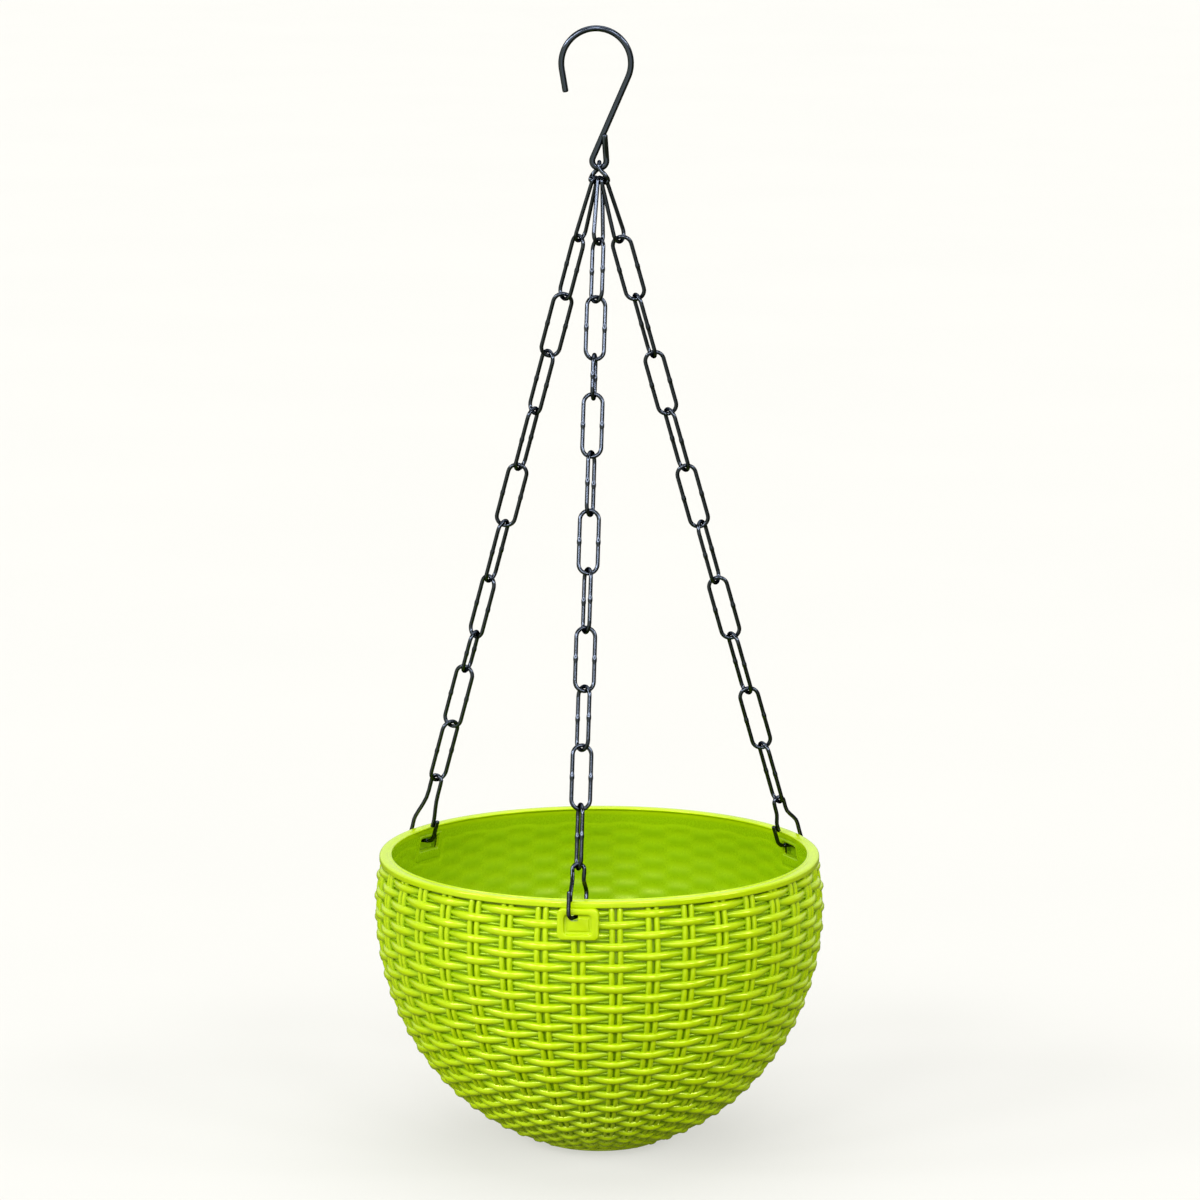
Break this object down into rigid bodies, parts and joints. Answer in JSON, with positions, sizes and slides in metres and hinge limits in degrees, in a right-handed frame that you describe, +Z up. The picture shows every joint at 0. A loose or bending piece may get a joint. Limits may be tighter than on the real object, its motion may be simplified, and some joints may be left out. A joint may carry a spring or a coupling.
{
  "type": "hanging basket planter",
  "caption": "Round moulded basket planter with a woven relief, hung from a wire hook by chains that meet at a small ring.",
  "frame": {"origin": "the hanging point: the inside top of the hook's bend, where it bears on a bracket or rail", "axes": "+Z up along the line of pull; the hook's bend lies in the XZ plane with its mouth towards -X; -Y is the front, where the front chain hangs"},
  "size_m": [0.2563, 0.2589, 0.6344],
  "materials": {
    "black_hook_wire": "satin black coating",
    "black_chain_wire": "satin black coating",
    "lime_plastic": "glossy moulded lime green"
  },
  "bodies": {
    "hook": {"top_hook": "black_hook_wire"},
    "ring": {"joining_ring": "black_hook_wire"},
    "basket": {"bowl": "lime_plastic", "left_chain_top_link": "black_chain_wire", "front_chain_top_link": "black_chain_wire", "right_chain_top_link": "black_chain_wire"},
    "left_link_01": {"left_chain_link_01": "black_chain_wire"},
    "left_link_02": {"left_chain_link_02": "black_chain_wire"},
    "left_link_03": {"left_chain_link_03": "black_chain_wire"},
    "left_link_04": {"left_chain_link_04": "black_chain_wire"},
    "left_link_05": {"left_chain_link_05": "black_chain_wire"},
    "left_link_06": {"left_chain_link_06": "black_chain_wire"},
    "left_link_07": {"left_chain_link_07": "black_chain_wire"},
    "left_link_08": {"left_chain_link_08": "black_chain_wire"},
    "left_link_09": {"left_chain_link_09": "black_chain_wire"},
    "left_link_10": {"left_chain_link_10": "black_chain_wire"},
    "left_hook": {"left_chain_hook": "black_chain_wire"},
    "front_link_01": {"front_chain_link_01": "black_chain_wire"},
    "front_link_02": {"front_chain_link_02": "black_chain_wire"},
    "front_link_03": {"front_chain_link_03": "black_chain_wire"},
    "front_link_04": {"front_chain_link_04": "black_chain_wire"},
    "front_link_05": {"front_chain_link_05": "black_chain_wire"},
    "front_link_06": {"front_chain_link_06": "black_chain_wire"},
    "front_link_07": {"front_chain_link_07": "black_chain_wire"},
    "front_link_08": {"front_chain_link_08": "black_chain_wire"},
    "front_link_09": {"front_chain_link_09": "black_chain_wire"},
    "front_link_10": {"front_chain_link_10": "black_chain_wire"},
    "front_link_11": {"front_chain_link_11": "black_chain_wire"},
    "front_hook": {"front_chain_hook": "black_chain_wire"},
    "right_link_01": {"right_chain_link_01": "black_chain_wire"},
    "right_link_02": {"right_chain_link_02": "black_chain_wire"},
    "right_link_03": {"right_chain_link_03": "black_chain_wire"},
    "right_link_04": {"right_chain_link_04": "black_chain_wire"},
    "right_link_05": {"right_chain_link_05": "black_chain_wire"},
    "right_link_06": {"right_chain_link_06": "black_chain_wire"},
    "right_link_07": {"right_chain_link_07": "black_chain_wire"},
    "right_link_08": {"right_chain_link_08": "black_chain_wire"},
    "right_link_09": {"right_chain_link_09": "black_chain_wire"},
    "right_link_10": {"right_chain_link_10": "black_chain_wire"},
    "right_hook": {"right_chain_hook": "black_chain_wire"}
  },
  "joints": [
    {"name": "ring_swing", "type": "hinge", "parent": "hook", "child": "ring", "pos_m": [0, 0, -0.0757], "axis": [1, 0, 0], "range_deg": [-45, 45]},
    {"name": "basket_swing", "type": "hinge", "parent": "ring", "child": "basket", "pos_m": [0, 0, -0.08365], "axis": [0.866, -0.5, 0], "range_deg": [-45, 45]},
    {"name": "left_link_01_twist", "type": "hinge", "parent": "basket", "child": "left_link_01", "pos_m": [-0.01546, 0.00996, -0.13231], "axis": [0.2474, -0.1631, 0.9551], "range_deg": [-5, 5]},
    {"name": "left_link_02_twist", "type": "hinge", "parent": "basket", "child": "left_link_02", "pos_m": [-0.02404, 0.01562, -0.16544], "axis": [0.2474, -0.1631, 0.9551], "range_deg": [-10, 10]},
    {"name": "left_link_03_twist", "type": "hinge", "parent": "basket", "child": "left_link_03", "pos_m": [-0.03262, 0.02128, -0.19858], "axis": [0.2474, -0.1631, 0.9551], "range_deg": [-15, 15]},
    {"name": "left_link_04_twist", "type": "hinge", "parent": "basket", "child": "left_link_04", "pos_m": [-0.04121, 0.02694, -0.23171], "axis": [0.2474, -0.1631, 0.9551], "range_deg": [-20, 20]},
    {"name": "left_link_05_twist", "type": "hinge", "parent": "basket", "child": "left_link_05", "pos_m": [-0.04979, 0.0326, -0.26484], "axis": [0.2474, -0.1631, 0.9551], "range_deg": [-25, 25]},
    {"name": "left_chain_twist", "type": "hinge", "parent": "basket", "child": "left_link_06", "pos_m": [-0.05837, 0.03826, -0.29798], "axis": [0.2474, -0.1631, 0.9551], "range_deg": [-30, 30]},
    {"name": "left_link_07_twist", "type": "hinge", "parent": "basket", "child": "left_link_07", "pos_m": [-0.06695, 0.04392, -0.33111], "axis": [0.2474, -0.1631, 0.9551], "range_deg": [-25, 25]},
    {"name": "left_link_08_twist", "type": "hinge", "parent": "basket", "child": "left_link_08", "pos_m": [-0.07396, 0.04854, -0.35818], "axis": [0.2474, -0.1631, 0.9551], "range_deg": [-20, 20]},
    {"name": "left_link_09_twist", "type": "hinge", "parent": "basket", "child": "left_link_09", "pos_m": [-0.08098, 0.05316, -0.38526], "axis": [0.2474, -0.1631, 0.9551], "range_deg": [-15, 15]},
    {"name": "left_link_10_twist", "type": "hinge", "parent": "basket", "child": "left_link_10", "pos_m": [-0.08956, 0.05882, -0.41839], "axis": [0.2474, -0.1631, 0.9551], "range_deg": [-10, 10]},
    {"name": "left_hook_twist", "type": "hinge", "parent": "basket", "child": "left_hook", "pos_m": [-0.10379, 0.06821, -0.47335], "axis": [0.2474, -0.1631, 0.9551], "range_deg": [-5, 5]},
    {"name": "front_link_01_twist", "type": "hinge", "parent": "basket", "child": "front_link_01", "pos_m": [-0.0011, -0.0153, -0.1312], "axis": [0.0308, 0.3016, 0.9529], "range_deg": [-5, 5]},
    {"name": "front_link_02_twist", "type": "hinge", "parent": "basket", "child": "front_link_02", "pos_m": [-0.00211, -0.02513, -0.16226], "axis": [0.0308, 0.3016, 0.9529], "range_deg": [-10, 10]},
    {"name": "front_link_03_twist", "type": "hinge", "parent": "basket", "child": "front_link_03", "pos_m": [-0.00295, -0.03337, -0.18827], "axis": [0.0308, 0.3016, 0.9529], "range_deg": [-15, 15]},
    {"name": "front_link_04_twist", "type": "hinge", "parent": "basket", "child": "front_link_04", "pos_m": [-0.00379, -0.0416, -0.21428], "axis": [0.0308, 0.3016, 0.9529], "range_deg": [-20, 20]},
    {"name": "front_link_05_twist", "type": "hinge", "parent": "basket", "child": "front_link_05", "pos_m": [-0.00479, -0.05143, -0.24535], "axis": [0.0308, 0.3016, 0.9529], "range_deg": [-25, 25]},
    {"name": "front_chain_twist", "type": "hinge", "parent": "basket", "child": "front_link_06", "pos_m": [-0.0058, -0.06126, -0.27641], "axis": [0.0308, 0.3016, 0.9529], "range_deg": [-30, 30]},
    {"name": "front_link_07_twist", "type": "hinge", "parent": "basket", "child": "front_link_07", "pos_m": [-0.0068, -0.0711, -0.30747], "axis": [0.0308, 0.3016, 0.9529], "range_deg": [-30, 30]},
    {"name": "front_link_08_twist", "type": "hinge", "parent": "basket", "child": "front_link_08", "pos_m": [-0.0078, -0.08093, -0.33853], "axis": [0.0308, 0.3016, 0.9529], "range_deg": [-25, 25]},
    {"name": "front_link_09_twist", "type": "hinge", "parent": "basket", "child": "front_link_09", "pos_m": [-0.00881, -0.09076, -0.36959], "axis": [0.0308, 0.3016, 0.9529], "range_deg": [-20, 20]},
    {"name": "front_link_10_twist", "type": "hinge", "parent": "basket", "child": "front_link_10", "pos_m": [-0.00981, -0.10059, -0.40065], "axis": [0.0308, 0.3016, 0.9529], "range_deg": [-15, 15]},
    {"name": "front_link_11_twist", "type": "hinge", "parent": "basket", "child": "front_link_11", "pos_m": [-0.01081, -0.11042, -0.43171], "axis": [0.0308, 0.3016, 0.9529], "range_deg": [-10, 10]},
    {"name": "front_hook_twist", "type": "hinge", "parent": "basket", "child": "front_hook", "pos_m": [-0.01216, -0.1236, -0.47335], "axis": [0.0308, 0.3016, 0.9529], "range_deg": [-5, 5]},
    {"name": "right_link_01_twist", "type": "hinge", "parent": "basket", "child": "right_link_01", "pos_m": [0.01633, 0.00551, -0.13221], "axis": [-0.2647, -0.1406, 0.954], "range_deg": [-5, 5]},
    {"name": "right_link_02_twist", "type": "hinge", "parent": "basket", "child": "right_link_02", "pos_m": [0.02549, 0.01037, -0.16522], "axis": [-0.2647, -0.1406, 0.954], "range_deg": [-10, 10]},
    {"name": "right_link_03_twist", "type": "hinge", "parent": "basket", "child": "right_link_03", "pos_m": [0.03464, 0.01524, -0.19822], "axis": [-0.2647, -0.1406, 0.954], "range_deg": [-15, 15]},
    {"name": "right_link_04_twist", "type": "hinge", "parent": "basket", "child": "right_link_04", "pos_m": [0.0438, 0.0201, -0.23123], "axis": [-0.2647, -0.1406, 0.954], "range_deg": [-20, 20]},
    {"name": "right_link_05_twist", "type": "hinge", "parent": "basket", "child": "right_link_05", "pos_m": [0.05296, 0.02496, -0.26424], "axis": [-0.2647, -0.1406, 0.954], "range_deg": [-25, 25]},
    {"name": "right_chain_twist", "type": "hinge", "parent": "basket", "child": "right_link_06", "pos_m": [0.06211, 0.02983, -0.29725], "axis": [-0.2647, -0.1406, 0.954], "range_deg": [-30, 30]},
    {"name": "right_link_07_twist", "type": "hinge", "parent": "basket", "child": "right_link_07", "pos_m": [0.07127, 0.03469, -0.33025], "axis": [-0.2647, -0.1406, 0.954], "range_deg": [-25, 25]},
    {"name": "right_link_08_twist", "type": "hinge", "parent": "basket", "child": "right_link_08", "pos_m": [0.08043, 0.03956, -0.36326], "axis": [-0.2647, -0.1406, 0.954], "range_deg": [-20, 20]},
    {"name": "right_link_09_twist", "type": "hinge", "parent": "basket", "child": "right_link_09", "pos_m": [0.08958, 0.04442, -0.39627], "axis": [-0.2647, -0.1406, 0.954], "range_deg": [-15, 15]},
    {"name": "right_link_10_twist", "type": "hinge", "parent": "basket", "child": "right_link_10", "pos_m": [0.09874, 0.04929, -0.42928], "axis": [-0.2647, -0.1406, 0.954], "range_deg": [-10, 10]},
    {"name": "right_hook_twist", "type": "hinge", "parent": "basket", "child": "right_hook", "pos_m": [0.11097, 0.05578, -0.47335], "axis": [-0.2647, -0.1406, 0.954], "range_deg": [-5, 5]}
  ],
  "couplings": [
    {"joint": "left_link_01_twist", "follows": "left_chain_twist", "ratio": 0.1666},
    {"joint": "left_link_02_twist", "follows": "left_chain_twist", "ratio": 0.3333},
    {"joint": "left_link_03_twist", "follows": "left_chain_twist", "ratio": 0.5},
    {"joint": "left_link_04_twist", "follows": "left_chain_twist", "ratio": 0.6666},
    {"joint": "left_link_05_twist", "follows": "left_chain_twist", "ratio": 0.8333},
    {"joint": "left_link_07_twist", "follows": "left_chain_twist", "ratio": 0.8333},
    {"joint": "left_link_08_twist", "follows": "left_chain_twist", "ratio": 0.6666},
    {"joint": "left_link_09_twist", "follows": "left_chain_twist", "ratio": 0.5},
    {"joint": "left_link_10_twist", "follows": "left_chain_twist", "ratio": 0.3333},
    {"joint": "left_hook_twist", "follows": "left_chain_twist", "ratio": 0.1666},
    {"joint": "front_link_01_twist", "follows": "front_chain_twist", "ratio": 0.1666},
    {"joint": "front_link_02_twist", "follows": "front_chain_twist", "ratio": 0.3333},
    {"joint": "front_link_03_twist", "follows": "front_chain_twist", "ratio": 0.5},
    {"joint": "front_link_04_twist", "follows": "front_chain_twist", "ratio": 0.6666},
    {"joint": "front_link_05_twist", "follows": "front_chain_twist", "ratio": 0.8333},
    {"joint": "front_link_07_twist", "follows": "front_chain_twist", "ratio": 1},
    {"joint": "front_link_08_twist", "follows": "front_chain_twist", "ratio": 0.8333},
    {"joint": "front_link_09_twist", "follows": "front_chain_twist", "ratio": 0.6666},
    {"joint": "front_link_10_twist", "follows": "front_chain_twist", "ratio": 0.5},
    {"joint": "front_link_11_twist", "follows": "front_chain_twist", "ratio": 0.3333},
    {"joint": "front_hook_twist", "follows": "front_chain_twist", "ratio": 0.1666},
    {"joint": "right_link_01_twist", "follows": "right_chain_twist", "ratio": 0.1666},
    {"joint": "right_link_02_twist", "follows": "right_chain_twist", "ratio": 0.3333},
    {"joint": "right_link_03_twist", "follows": "right_chain_twist", "ratio": 0.5},
    {"joint": "right_link_04_twist", "follows": "right_chain_twist", "ratio": 0.6666},
    {"joint": "right_link_05_twist", "follows": "right_chain_twist", "ratio": 0.8333},
    {"joint": "right_link_07_twist", "follows": "right_chain_twist", "ratio": 0.8333},
    {"joint": "right_link_08_twist", "follows": "right_chain_twist", "ratio": 0.6666},
    {"joint": "right_link_09_twist", "follows": "right_chain_twist", "ratio": 0.5},
    {"joint": "right_link_10_twist", "follows": "right_chain_twist", "ratio": 0.3333},
    {"joint": "right_hook_twist", "follows": "right_chain_twist", "ratio": 0.1666}
  ]
}
